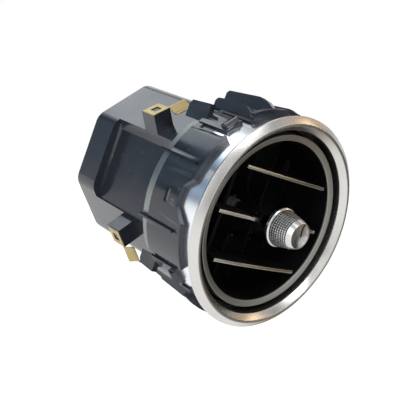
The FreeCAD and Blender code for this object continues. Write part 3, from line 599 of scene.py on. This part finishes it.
def makeKnob():
    size = {"flange": 9.0, "flangeBack": -3.2, "flangeFront": -5.2, "flangeSlope": 0.5, "flangeStep": 0.3,
            "gripFoot": 8.1, "gripTip": 6.5, "gripFront": -12.8, "capBack": 6.7, "shoulder": 0.5,
            "capFace": 5.7, "capFront": -15.74, "bore": 1.3, "dish": 1.1, "dishRadius": 5.4,
            "dishSteps": 8, "segments": 128}
    makeKnobFlange(size)
    makeKnobCap(size)
    makeKnobPointer(size)
    makeKnobStuds(size)


def makeStrips():
    size = {"bowRadius": 278.0, "height": 1.5, "depth": 1.3, "round": 0.35}
    for row in ("upper", "lower"):
        low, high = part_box("strip_" + row)
        half = (high.x - low.x) / 2
        mesh = grow(stripGrowth, {
            "Half": half, "Front Y": low.y, "Bow": half ** 2 / (2 * size["bowRadius"] * mm),
            "Middle Z": (low.z + high.z) / 2, "Height": size["height"] * mm,
            "Depth": size["depth"] * mm, "Round": size["round"] * mm,
            "Material": materials["stripSilver"]})
        addPiece("strip" + row.capitalize() + "Swept", mesh, "slat_" + row, "stripSilver",
                 ["strip_" + row])


makeBezel()
makeTrimRing()
makeKnob()
makeStrips()
print("turned and grown pieces made")

# Nodes softened, each with its finish, its slot and the rounding in millimetres

softPieces = {"retaining_collar": ("collarBlack", "black_plastic", 0.45),
              "duct_box": ("boxBlack", "black_plastic", 0.45),
              "strip_centre_left": ("stripSilver", "chrome_strip", 0.3),
              "strip_centre_right": ("stripSilver", "chrome_strip", 0.3),
              "slat_upper": ("insideBlackPaintedShade", "slat_plastic", 0.25),
              "slat_centre": ("insideBlackPaintedShade", "slat_plastic", 0.25),
              "slat_lower": ("insideBlackPaintedShade", "slat_plastic", 0.25)}
for index in range(1, 5):
    softPieces["spring_clip_%d" % index] = ("springBrass", "spring_brass", 0.12)
for node, (finish, slot, corner) in softPieces.items():
    softened(node, finish, corner)
print("softened pieces made:", len(softPieces))


# Lights, surroundings, floor and camera

def addArea(name, place, target, size, power, colour):
    light = bpy.data.lights.new(name, "AREA")
    light.shape = "RECTANGLE"
    light.size, light.size_y = size
    light.energy = power
    light.color = colour
    lamp = bpy.data.objects.new(name, light)
    scene.collection.objects.link(lamp)
    lamp.location = place
    lamp.rotation_euler = (Vector(target) - Vector(place)).to_track_quat("-Z", "Y").to_euler()


lamps = {
    "topSoft": {"place": (-0.17, -0.28, 0.48), "size": (0.29, 0.29), "power": 1.3,
                "colour": (1.0, 0.99, 0.97)},
    "backTop": {"place": (-0.12, 0.50, 0.42), "size": (0.40, 0.20), "power": 0.45,
                "colour": (0.90, 0.95, 1.0)},
    "leftFront": {"place": (-0.55, -0.12, 0.12), "size": (0.10, 0.40), "power": 0.5,
                  "colour": (0.92, 0.96, 1.0)},
    "warmHigh": {"place": (0.40, -0.20, 0.36), "size": (0.12, 0.22), "power": 0.22,
                 "colour": (1.0, 0.74, 0.48)},
}
target = (0.0, 0.03, 0.0)
for name, lamp in lamps.items():
    addArea(name, lamp["place"], target, lamp["size"], lamp["power"], lamp["colour"])


def seenDirectly(tree):
    path = tree.nodes.new("ShaderNodeLightPath")
    either = math2(tree, "MAXIMUM", path.outputs["Is Camera Ray"], path.outputs["Is Glossy Ray"])
    return math2(tree, "MAXIMUM", either, path.outputs["Is Transmission Ray"])


studio = {"soft": (0.5, 0.5, 0.5, 1), "white": (1, 1, 1, 1), "cloudScale": 4.2, "cloudDetail": 2.0,
          "cloudStart": 0.38, "cloudEnd": 0.60, "cloudLow": 0.15, "cloudHigh": 1.6}
patches = {  # what smooth surfaces mirror: a warm corner, a dim room below it and a dusky wall
    "warmHigh": {"side": (0.72, -0.36, 0.60), "start": 0.90, "end": 0.985,
                 "colour": (0.52, 0.36, 0.23, 1)},
    "dimRoom": {"side": (0.93, -0.36, 0.05), "start": 0.78, "end": 0.97,
                "colour": (0.10, 0.10, 0.10, 1)},
    "duskyWall": {"side": (-0.66, 0.71, 0.24), "start": 0.62, "end": 0.93,
                  "colour": (0.34, 0.44, 0.56, 1)}}

world = bpy.data.worlds.new("studio")
scene.world = world
world.use_nodes = True
tree = world.node_tree
tree.nodes.clear()
direction = tree.nodes.new("ShaderNodeTexCoord").outputs["Generated"]
mirrored = studio["white"]
for patch in patches.values():
    towards = addNode(tree, "ShaderNodeVectorMath", {"operation": "DOT_PRODUCT"})
    feed(tree, towards.inputs[0], direction)
    feed(tree, towards.inputs[1], patch["side"])
    near = addNode(tree, "ShaderNodeMapRange", {"interpolation_type": "SMOOTHSTEP"},
                   Value=towards.outputs["Value"], From_Min=patch["start"], From_Max=patch["end"])
    mirrored = mixColour(tree, near.outputs[0], mirrored, patch["colour"])
cloud = addNode(tree, "ShaderNodeTexNoise", Vector=direction, Scale=studio["cloudScale"],
                Detail=studio["cloudDetail"])
depth = addNode(tree, "ShaderNodeMapRange", Value=cloud.outputs["Fac"], From_Min=studio["cloudStart"],
                From_Max=studio["cloudEnd"], To_Min=studio["cloudLow"], To_Max=studio["cloudHigh"])
uneven = addNode(tree, "ShaderNodeVectorMath", {"operation": "SCALE"}, Scale=depth.outputs[0])
tree.links.new(mirrored, uneven.inputs[0])
path = tree.nodes.new("ShaderNodeLightPath")
shown = mixColour(tree, path.outputs["Is Glossy Ray"], studio["soft"], uneven.outputs[0])
seen = math2(tree, "MAXIMUM", path.outputs["Is Camera Ray"], path.outputs["Is Transmission Ray"])
shown = mixColour(tree, seen, shown, studio["white"])
backdrop = addNode(tree, "ShaderNodeBackground", Color=shown)
tree.links.new(backdrop.outputs[0], tree.nodes.new("ShaderNodeOutputWorld").inputs["Surface"])

floorSize = {"half": 0.75, "height": -0.13, "seenWhite": 0.6, "roughness": 0.8,
             "paper": (0.92, 0.92, 0.92, 1), "table": (0.40, 0.31, 0.22, 1), "tableStart": 0.06,
             "tableEnd": 0.2}
made = bmesh.new()
half = floorSize["half"]
height = floorSize["height"]
made.faces.new([made.verts.new((x, y, height)) for x, y in
                ((-half, -half), (half, -half), (half, half), (-half, half))])
mesh = meshFrom(made, "floor")
floor = bpy.data.objects.new("floor", mesh)
scene.collection.objects.link(floor)
paper = bpy.data.materials.new("paper")
paper.use_nodes = True
tree = paper.node_tree
shader = tree.nodes["Principled BSDF"]
place = tree.nodes.new("ShaderNodeTexCoord").outputs["Object"]
parts = addNode(tree, "ShaderNodeSeparateXYZ", Vector=place)
right = addNode(tree, "ShaderNodeMapRange", {"interpolation_type": "SMOOTHSTEP"},
                Value=parts.outputs["X"], From_Min=floorSize["tableStart"],
                From_Max=floorSize["tableEnd"])
mirror = tree.nodes.new("ShaderNodeLightPath").outputs["Is Glossy Ray"]
table = math2(tree, "MULTIPLY", right.outputs[0], mirror)  # smooth surfaces mirror a table on the right
floorColour = mixColour(tree, table, floorSize["paper"], floorSize["table"])
tree.links.new(floorColour, shader.inputs["Base Color"])
shader.inputs["Roughness"].default_value = floorSize["roughness"]
shader.inputs["Emission Color"].default_value = studio["white"]
paperShare = math2(tree, "SUBTRACT", seenDirectly(tree), table)
glow = math2(tree, "MULTIPLY", paperShare, floorSize["seenWhite"])
tree.links.new(glow, shader.inputs["Emission Strength"])
mesh.materials.append(paper)

view = {"place": (-0.245627, -0.198828, 0.034630), "turn": (83.0832, -19.8283, -42.5065),
        "lens": 65.325, "near": 0.01}
camera = bpy.data.objects.new("camera", bpy.data.cameras.new("camera"))
scene.collection.objects.link(camera)
camera.location = view["place"]
camera.rotation_euler = [math.radians(angle) for angle in view["turn"]]
camera.data.lens = view["lens"]
camera.data.clip_start = view["near"]
scene.camera = camera
print("camera and light placed")
